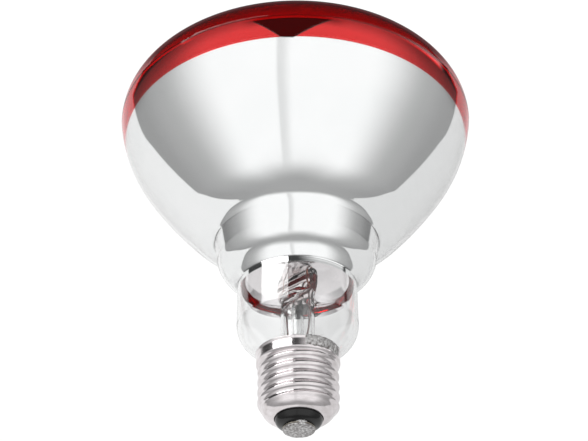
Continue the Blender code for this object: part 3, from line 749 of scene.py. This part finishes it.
def build_filament():
    opening = PRESS_YAW - math.pi / 2
    start = opening + FILAMENT_GAP / 2
    end = opening + 2 * math.pi - FILAMENT_GAP / 2
    per_turn = 10
    steps = FILAMENT_TURNS * per_turn
    coil = []
    for i in range(steps + 1):
        angle = start + (end - start) * i / steps
        around = 2 * math.pi * i / per_turn
        radius = FILAMENT_RING + FILAMENT_RADIUS * math.cos(around)
        coil.append(polar(radius, angle, FILAMENT_Z + FILAMENT_RADIUS * math.sin(around)))
    keep(wire("filament_coil", coil, FILAMENT_WIRE, "tungsten_coil", 1), "tungsten_coil", "filament")

    for i in range(SUPPORTS):
        angle = start + (end - start) * (i + 1) / (SUPPORTS + 1)
        root = polar(BUTTON_RADIUS - 0.6 * MM, angle, BUTTON_Z)
        out = polar(BUTTON_RADIUS + 1.0 * MM, angle, BUTTON_Z + 0.3 * MM)
        knee = polar(FILAMENT_RING - 3.2 * MM, angle, FILAMENT_Z - 2.4 * MM)
        hook = [
            polar(FILAMENT_RING + HOOK_RADIUS * math.sin(a), angle, FILAMENT_Z - HOOK_RADIUS * math.cos(a))
            for a in (math.radians(d) for d in range(-40, 200, 20))
        ]
        path = smooth_path([root, out, knee] + hook, 3)
        made = wire(f"support_hook_{i + 1}", path, SUPPORT_WIRE, "molybdenum_wire")
        keep(made, "molybdenum_wire", f"support_wire_{i + 1}")

    for side, sign, tip in (("side", 1, start), ("centre", -1, end)):
        base = PRESS_YAW if sign > 0 else PRESS_YAW + math.pi
        foot = PRESS_Z[1]
        turn = -sign
        clamp = tip - turn * math.radians(3)
        points = [
            polar(LEAD_OFFSET, base, foot - 1.5 * MM),
            polar(LEAD_OFFSET, base, foot + 0.5 * MM),
            polar(LEAD_OFFSET + 0.2 * MM, base + turn * math.radians(2), foot + 3.5 * MM),
            polar(7.5 * MM, base + turn * math.radians(17), foot + 8.0 * MM),
            polar(10.2 * MM, base + turn * math.radians(46), FILAMENT_Z - 3.2 * MM),
            polar(FILAMENT_RING, tip + turn * math.radians(3), FILAMENT_Z - 1.6 * MM),
            polar(FILAMENT_RING, clamp, FILAMENT_Z),
        ]
        made = wire(f"lead_in_{side}", smooth_path(points, 8), INNER_WIRE, "nickel_wire")
        keep(made, "nickel_wire", f"inner_lead_{side}")


def build_outer_leads():
    for side, sign in (("side", 1), ("centre", -1)):
        at = polar(sign * LEAD_OFFSET, PRESS_YAW, 0)
        rise = PRESS_Z[1] - 0.5 * MM - CAVITY_TOP_Z
        points = [at + Vector((0, 0, CAVITY_TOP_Z - 1.0 * MM + rise * i / 12)) for i in range(13)]
        made = wire(f"dumet_seal_{side}", points, SEAL_WIRE, "dumet_wire")
        keep(made, "dumet_wire", f"seal_wire_{side}")

    run = front_angle(SIDE_LEAD_ANGLE)
    side_route = [
        polar(LEAD_OFFSET, PRESS_YAW, CAVITY_TOP_Z - 0.2 * MM),
        polar(LEAD_OFFSET - 0.2 * MM, PRESS_YAW, 48.0 * MM),
        polar(4.1 * MM, PRESS_YAW + LEAD_TURN, 44.5 * MM),
        polar(3.9 * MM, PRESS_YAW + LEAD_TURN, 38.0 * MM),
        polar(3.4 * MM, PRESS_YAW, 30.0 * MM),
        polar(3.8 * MM, run, 22.0 * MM),
        polar(5.4 * MM, run, 18.6 * MM),
        polar(8.4 * MM, run, 17.2 * MM),
        polar(10.6 * MM, run, 17.8 * MM),
        polar(11.1 * MM, run, 19.6 * MM),
        polar(11.1 * MM, run, 22.6 * MM),
        polar(12.1 * MM, run, 24.7 * MM),
        polar(12.75 * MM, run, 26.4 * MM),
        polar(13.5 * MM, run, 27.2 * MM),
    ]
    made = wire("copper_lead_side", smooth_path(side_route, 8), OUTER_WIRE, "copper_wire")
    keep(made, "copper_wire", "outer_lead_side")
    centre_route = [
        polar(-LEAD_OFFSET, PRESS_YAW, CAVITY_TOP_Z - 0.2 * MM),
        polar(-LEAD_OFFSET + 0.2 * MM, PRESS_YAW, 47.5 * MM),
        polar(-4.1 * MM, PRESS_YAW + LEAD_TURN, 43.0 * MM),
        polar(-3.6 * MM, PRESS_YAW + LEAD_TURN, 35.0 * MM),
        polar(-3.4 * MM, PRESS_YAW, 28.0 * MM),
        polar(-3.5 * MM, PRESS_YAW, 15.0 * MM),
        polar(-2.0 * MM, PRESS_YAW, 11.0 * MM),
        polar(-0.3 * MM, PRESS_YAW, 8.0 * MM),
        polar(0, PRESS_YAW, 5.0 * MM),
        polar(0, PRESS_YAW, 0.4 * MM),
    ]
    made = wire("copper_lead_centre", smooth_path(centre_route, 8), OUTER_WIRE, "copper_wire")
    keep(made, "copper_wire", "outer_lead_centre")


# Screw cap.


def collar_radius(z):
    return COLLAR_RADIUS + (SHELL_RIM_RADIUS - COLLAR_RADIUS) * smoothstep(COLLAR_LIP_Z, SHELL_RIM_Z, z)


def thread_height(turns):
    """1 on a crest and 0 in a root; crests and roots are arcs of one radius that meet halfway."""
    across = abs(turns - round(turns)) * THREAD_PITCH
    from_crest = across < THREAD_PITCH / 4
    reach = across if from_crest else THREAD_PITCH / 2 - across
    drop = (THREAD_ROUND - math.sqrt(THREAD_ROUND**2 - reach**2)) / THREAD_DEPTH
    return 1 - drop if from_crest else drop


def shell_radius(angle, z):
    """The cap's outer surface; the angle is measured from the front towards +X."""
    round_top = LIP_Z + LIP_ROUND
    if z < round_top:
        body = LIP_RADIUS + math.sqrt(max(LIP_ROUND**2 - (round_top - z) ** 2, 0.0))
    else:
        body = THREAD_ROOT
    turns = (z - THREAD_CREST_Z) / THREAD_PITCH - angle / (2 * math.pi)
    threaded = body + THREAD_DEPTH * thread_height(turns) * smoothstep(*THREAD_FADE, z)
    collar = smoothstep(*COLLAR_FADE, z)
    return threaded * (1 - collar) + collar_radius(z) * collar


def build_shell():
    round_top = LIP_Z + LIP_ROUND
    lip = [round_top - LIP_ROUND * math.cos(math.radians(a)) for a in range(0, 78, 4)]
    rim_round = 0.22 * MM
    rows = SHELL_ROWS
    heights = lip + [lip[-1] + (SHELL_RIM_Z - rim_round - lip[-1]) * i / rows for i in range(1, rows + 1)]
    angles = [2 * math.pi * i / SHELL_SEGMENTS for i in range(SHELL_SEGMENTS)]
    outer = [[polar(shell_radius(a, z), front_angle(a), z) for a in angles] for z in heights]
    bore = arc((SHELL_RIM_RADIUS - rim_round, SHELL_RIM_Z - rim_round), rim_round, 0, math.pi / 2, 5)[1:]
    bore += [
        (SHELL_RIM_RADIUS - SHELL_WALL + 0.05 * MM, SHELL_RIM_Z),
        (SHELL_RIM_RADIUS - SHELL_WALL - 0.05 * MM, SHELL_RIM_Z - 0.15 * MM),
        (COLLAR_BORE, COLLAR_FADE[1] + 0.3 * MM),
        (SHELL_BORE, COLLAR_FADE[0] + 0.7 * MM),
    ]
    bore += arc((LIP_RADIUS, round_top), LIP_ROUND - SHELL_WALL, 0, -math.pi / 2, 16)
    inner = [[polar(r, front_angle(a), z) for a in angles] for r, z in bore]
    shell = loft("screw_shell", outer + inner, "nickel_plate", endless=True, sharp=50)
    keep(shell, "nickel_plate", "cap_shell")


def build_cap():
    build_shell()
    cement = [
        (NECK_END_RADIUS + 0.1 * MM, NECK_END_Z + 0.5 * MM),
        (NECK_END_RADIUS + 0.1 * MM, NECK_FLARE_Z),
        (NECK_END_RADIUS + 0.7 * MM, NECK_FLARE_Z + 1.4 * MM),
        (NECK_END_RADIUS + 1.0 * MM, SHELL_RIM_Z - 0.9 * MM),
        (SHELL_RIM_RADIUS - SHELL_WALL - 0.35 * MM, SHELL_RIM_Z - 0.9 * MM),
        (COLLAR_BORE - 0.1 * MM, COLLAR_FADE[1] + 0.4 * MM),
        (SHELL_BORE - 0.1 * MM, COLLAR_FADE[0] + 0.6 * MM),
        (SHELL_BORE - 0.1 * MM, NECK_END_Z + 0.5 * MM),
    ]
    keep(
        turned("cement_ring", softened(cement, 0.2 * MM), "capping_cement", 120),
        "capping_cement",
        "capping_cement",
    )

    round_top = LIP_Z + LIP_ROUND
    inner_round = LIP_ROUND - SHELL_WALL - 0.05 * MM
    face = [
        (INSULATOR_HOLE, INSULATOR_FACE_Z),
        (CONTACT_RADIUS - 0.4 * MM, INSULATOR_FACE_Z - 0.15 * MM),
        (CONTACT_RADIUS + 0.35 * MM, INSULATOR_FACE_Z + 0.15 * MM),
        (CONTACT_RADIUS + 1.6 * MM, INSULATOR_FACE_Z + 0.8 * MM),
        (LIP_RADIUS - 0.45 * MM, INSULATOR_FACE_Z + 1.7 * MM),
        (LIP_RADIUS - 0.25 * MM, LIP_Z - 0.3 * MM),
        (LIP_RADIUS - 0.2 * MM, LIP_Z + 0.3 * MM),
        (LIP_RADIUS, LIP_Z + SHELL_WALL + 0.05 * MM),
    ]
    flange = arc((LIP_RADIUS, round_top), inner_round, math.radians(-88), 0, 14)
    back = [
        (SHELL_BORE - 0.05 * MM, INSULATOR_TOP_Z - 0.6 * MM),
        (SHELL_BORE - 1.2 * MM, INSULATOR_TOP_Z),
        (INSULATOR_HOLE + 1.4 * MM, INSULATOR_TOP_Z),
        (INSULATOR_HOLE, INSULATOR_TOP_Z - 0.8 * MM),
    ]
    outline = [tuple(p) for p in smooth_path(face, 5)] + flange + back
    keep(turned("vitrite_insulator", outline, "black_vitrite", 120), "black_vitrite", "cap_insulator")

    low, high = CONTACT_Z
    disc = [(CONTACT_HOLE, low), (CONTACT_RADIUS, low), (CONTACT_RADIUS, high), (CONTACT_HOLE, high)]
    contact = turned("contact_disc", softened(disc, 0.15 * MM), "contact_brass", 96)
    keep(contact, "contact_brass", "centre_contact")


def build_centre_solder():
    """A round pad of solder with a torn, lumpy face, and a bead where it ran over the contact."""
    rings = []
    segments, across = 96, 26
    for i in range(across, -1, -1):
        radius = SOLDER_RADIUS * i / across
        if i == 0:
            rings.append([Vector((0, 0, 0.02 * MM))])
            continue
        ring = []
        for k in range(segments):
            at = polar(radius, 2 * math.pi * k / segments, 0)
            grain = noise.fractal(at / (0.9 * MM), 0.7, 2.2, 4)
            edge = smoothstep(SOLDER_FLAT, SOLDER_RADIUS, radius)
            at *= 1 + 0.012 * edge * noise.noise(at / (1.4 * MM))
            at.z = max(0.10 * MM + 0.10 * MM * grain + 0.24 * MM * edge**2, 0.0)
            ring.append(at)
        rings.append(ring)
    side = []
    for step, z in ((0, 0.5), (1, 0.75), (2, 0.95)):
        side.append(
            [
                polar((SOLDER_RADIUS + (0.12 - 0.06 * step) * MM), 2 * math.pi * k / segments, z * MM)
                for k in range(segments)
            ]
        )
    rings = side[::-1] + rings
    mesh = bmesh.new()
    loops = [[mesh.verts.new(point) for point in ring] for ring in rings]
    for low, high in zip(loops, loops[1:]):
        skin(mesh, low, high)
    mesh.faces.new(loops[0])
    bead = bmesh.ops.create_icosphere(mesh, subdivisions=4, radius=1.0)["verts"]
    centre = polar(4.75 * MM, front_angle(math.radians(9)), 1.35 * MM)
    for vert in bead:
        lump = 1 + 0.22 * noise.noise(vert.co * 1.7 + Vector((3, 1, 2)))
        bead_point = Vector((vert.co.x * 1.7 * MM, vert.co.y * 0.75 * MM, vert.co.z * 0.62 * MM))
        vert.co = bead_point * lump + centre
    keep(from_bmesh("centre_solder_pad", mesh, "tin_solder", sharp=80), "tin_solder", "centre_solder")


def build_side_solder():
    """The lump that joins the side lead to the collar's edge, rough and thinning to both ends."""
    start, end = SIDE_SOLDER_ARC
    seat = SHELL_RIM_Z
    steps = 90
    rings = []
    for i in range(steps + 1):
        share = i / steps
        angle = start + (end - start) * share
        thick = SIDE_SOLDER_THICKNESS * (0.30 + 0.70 * math.sin(math.pi * min(share * 1.15, 1.0)) ** 0.7)
        low = SIDE_SOLDER_LOW_Z + 0.5 * MM * noise.noise(Vector((share * 7, 3.1, 0)))
        middle = (low + seat) / 2
        section = [
            (collar_radius(low) - 0.1 * MM, low),
            (SHELL_RIM_RADIUS - 0.3 * MM, seat - 0.1 * MM),
            (SHELL_RIM_RADIUS - SHELL_WALL, seat + 0.05 * MM),
            (SHELL_RIM_RADIUS - SHELL_WALL, seat + 0.6 * thick),
            (SHELL_RIM_RADIUS + 0.2 * MM + thick * 0.5, seat + 0.1 * thick),
            (collar_radius(middle) + 0.1 * MM + thick, middle),
            (collar_radius(low) + 0.6 * thick, low + 0.2 * MM),
        ]
        outline = softened(section, 0.5 * MM, 3)
        ring = []
        for r, z in outline:
            at = polar(r, front_angle(angle), z)
            outward = smoothstep(collar_radius(middle) - 0.1 * MM, collar_radius(middle) + 0.4 * MM, r)
            swell = noise.fractal(at / (1.3 * MM), 0.8, 2.1, 4) * 0.16 * MM * outward
            ring.append(polar(r + swell, front_angle(angle), z + swell * 0.4))
        rings.append(ring)
    keep(loft("side_solder_lump", rings, "tin_solder", sharp=80), "tin_solder", "side_solder")


build_glass()
build_stem()
build_heat_shield()
build_filament()
build_outer_leads()
build_cap()
build_centre_solder()
build_side_solder()


# Studio.


class Graph:
    """Small arithmetic on a node tree's sockets."""

    def __init__(self, tree):
        self.tree = tree

    def math(self, operation, *values):
        node = self.tree.nodes.new("ShaderNodeMath")
        node.operation = operation
        for socket, value in zip(node.inputs, values):
            if isinstance(value, (int, float)):
                socket.default_value = value
            else:
                self.tree.links.new(value, socket)
        return node.outputs["Value"]

    def ramp(self, value, low, high, start=0.0, end=1.0):
        node = self.tree.nodes.new("ShaderNodeMapRange")
        node.interpolation_type = "SMOOTHSTEP"
        for key, number in (("From Min", low), ("From Max", high), ("To Min", start), ("To Max", end)):
            node.inputs[key].default_value = number
        self.tree.links.new(value, node.inputs["Value"])
        return node.outputs["Result"]

    def mix(self, share, first, second):
        """first where share is 0, second where it is 1."""
        node = self.tree.nodes.new("ShaderNodeMix")
        node.data_type = "FLOAT"
        for key, value in ((0, share), (2, first), (3, second)):
            if isinstance(value, (int, float)):
                node.inputs[key].default_value = value
            else:
                self.tree.links.new(value, node.inputs[key])
        return node.outputs[0]


def build_world():
    """What the lamp reflects: a wall with a slit in front, two softboxes above it and a pale back.

    Directions are in degrees, azimuth from the front towards +X and elevation from level. The
    camera itself sees plain white instead.
    """
    world = bpy.data.worlds.new("studio")
    world.use_nodes = True
    bpy.context.scene.world = world
    tree = world.node_tree
    graph = Graph(tree)
    direction = tree.nodes.new("ShaderNodeTexCoord").outputs["Generated"]
    split = tree.nodes.new("ShaderNodeSeparateXYZ")
    tree.links.new(direction, split.inputs["Vector"])
    right, back, up = split.outputs
    front = graph.math("MULTIPLY", back, -1.0)
    azimuth = graph.math("MULTIPLY", graph.math("ARCTAN2", right, front), 180 / math.pi)
    spread = graph.math("ABSOLUTE", azimuth)
    elevation = graph.math("MULTIPLY", graph.math("ARCSINE", up), 180 / math.pi)

    # Front wall: white, greyer to the sides, towards the ground and at its upper edge.
    wall = graph.ramp(spread, 48, 92, *WALL_LIGHT)
    wall = graph.math("SUBTRACT", wall, graph.ramp(spread, 88, 112, 0.0, WALL_SIDE_DIM))
    ground = graph.ramp(elevation, -82, -42, 0.0, 1.0)
    wall = graph.mix(ground, GROUND_LIGHT, wall)
    faded = graph.math("MULTIPLY", wall, graph.ramp(spread, 22, 34, *WALL_TOP_SHARE))
    wall = graph.mix(graph.ramp(elevation, 15, 27), wall, faded)
    # The slit between the two softboxes.
    slit = graph.math("ADD", right, graph.math("MULTIPLY", front, 0.13))
    slit = graph.math("SUBTRACT", slit, graph.math("MULTIPLY", up, 0.046))
    rise = graph.ramp(slit, -0.075, -0.035)
    fall = graph.ramp(slit, -0.02, 0.12, 1.0, 0.0)
    dip = graph.math("MULTIPLY", graph.math("MULTIPLY", rise, fall), graph.ramp(elevation, -70, -40))
    kept = graph.math("SUBTRACT", 1.0, graph.math("MULTIPLY", dip, SLIT_DEPTH))
    wall = graph.math("MULTIPLY", wall, kept)

    # Above the wall: two strong softboxes on black.
    left_end = graph.ramp(azimuth, -18, -17, 1.0, 0.0)
    left_box = graph.math("MULTIPLY", graph.ramp(azimuth, -73, -71), left_end)
    right_end = graph.ramp(azimuth, 98, 106, 1.0, 0.0)
    right_box = graph.math("MULTIPLY", graph.ramp(azimuth, -8, 48), right_end)
    right_box = graph.math("MULTIPLY", right_box, graph.ramp(elevation, 30, 32, *RIGHT_BOX_LIGHT))
    boxes = graph.math("ADD", graph.math("MULTIPLY", left_box, LEFT_BOX_LIGHT), right_box)
    boxes = graph.math("MULTIPLY", boxes, graph.ramp(elevation, 40, 47, 1.0, 0.0))
    upper = graph.math("MAXIMUM", boxes, UPPER_LIGHT)
    wall = graph.mix(graph.ramp(elevation, 26, 28), wall, upper)

    # The back, past an edge that moves further back with height: pale, with a dark roof.
    tent = graph.ramp(azimuth, -170, 170, *TENT_LIGHT)
    tent = graph.mix(graph.ramp(elevation, 37, 51), tent, ROOF_LIGHT)
    rising = graph.ramp(elevation, -32, 10, 0.0, TENT_EDGE_SHIFT)
    reach = graph.math("MULTIPLY", rising, graph.ramp(elevation, 28, 31, 1.0, 0.0))
    behind = graph.ramp(graph.math("SUBTRACT", back, reach), *TENT_EDGE)
    light = graph.mix(behind, wall, tent)

    background = tree.nodes["Background"]
    path = tree.nodes.new("ShaderNodeLightPath")
    seen = graph.mix(path.outputs["Is Camera Ray"], light, BACKDROP_LIGHT)
    tree.links.new(seen, background.inputs["Strength"])
    background.inputs["Color"].default_value = (1.0, 1.0, 1.0, 1.0)


def build_floor():
    """A pale floor with a slight glow that the lamp neither reflects nor refracts."""
    floor_look = Look("stage_floor", Specular_IOR_Level=0.1)
    floor_look.colour(floor_look.noise(3), (0.3, (0.83, 0.83, 0.83)), (0.7, (0.88, 0.88, 0.88)))
    floor_look.roughness(floor_look.noise(20), 0.6, 0.8)
    graph = Graph(floor_look.tree)
    length = floor_look.tree.nodes.new("ShaderNodeVectorMath")
    length.operation = "LENGTH"
    floor_look.tree.links.new(floor_look.place, length.inputs[0])
    glow = graph.ramp(length.outputs["Value"], 0.3, 2.5, 0.25, 1.0)
    floor_look.shader.inputs["Emission Color"].default_value = (1, 1, 1, 1)
    floor_look.tree.links.new(glow, floor_look.shader.inputs["Emission Strength"])
    LOOKS["stage_floor"] = floor_look.material
    mesh = bmesh.new()
    inner = [mesh.verts.new(p) for p in round_ring(0.0, FLOOR_Z, FLOOR_SEGMENTS)]
    for share in FLOOR_RINGS:
        outer = [mesh.verts.new(p) for p in round_ring(FLOOR_RADIUS * share, FLOOR_Z, FLOOR_SEGMENTS)]
        skin(mesh, inner, outer)
        inner = outer
    floor = from_bmesh("stage_floor", mesh, "stage_floor")
    floor.visible_glossy = False
    floor.visible_transmission = False


def build_painted_shade_card():
    """A small dark card in front of the lamp, hidden from the camera, that paints a dark patch of shade
    into the lamp's reflections.

    It shows in the mirror, and also through the glass when the lamp is seen from behind.
    """
    painted_shade_look = Look("stage_painted_shade", Specular_IOR_Level=0.0)
    painted_shade_look.colour(painted_shade_look.noise(8), (0.3, (0.004, 0.004, 0.004)), (0.7, (0.008, 0.008, 0.008)))
    painted_shade_look.roughness(painted_shade_look.noise(20), 0.8, 1.0)
    # Painted light: a faint glow keeps the painted shade in the reflections from pure black.
    painted_shade_look.shader.inputs["Emission Color"].default_value = (1, 1, 1, 1)
    painted_shade_look.shader.inputs["Emission Strength"].default_value = PAINTED_SHADE_GLOW
    LOOKS["stage_painted_shade"] = painted_shade_look.material
    mesh = bmesh.new()
    mesh.faces.new([mesh.verts.new((x, PAINTED_SHADE_Y, z)) for x, z in PAINTED_SHADE_OUTLINE])
    painted_shade_card = from_bmesh("stage_painted_shade", mesh, "stage_painted_shade")
    painted_shade_card.visible_camera = False
    painted_shade_card.visible_diffuse = False
    painted_shade_card.visible_shadow = False


def build_camera():
    camera = bpy.data.objects.new("camera", bpy.data.cameras.new("camera"))
    bpy.context.scene.collection.objects.link(camera)
    camera.data.lens = CAMERA_LENS
    camera.data.sensor_width = 36
    camera.data.clip_start = 0.01
    camera.data.clip_end = 50
    back = Vector((0, -math.cos(CAMERA_ELEVATION), math.sin(CAMERA_ELEVATION)))
    aim = Vector((CAMERA_SIDESTEP, 0, CAMERA_AIM_Z))
    camera.location = aim + back * CAMERA_DISTANCE
    facing = (-back).to_track_quat("-Z", "Y")
    camera.rotation_mode = "QUATERNION"
    camera.rotation_quaternion = facing @ Matrix.Rotation(-CAMERA_ROLL, 3, "Z").to_quaternion()
    bpy.context.scene.camera = camera


build_world()
build_floor()
build_painted_shade_card()
build_camera()
bpy.context.scene.view_settings.view_transform = "Standard"
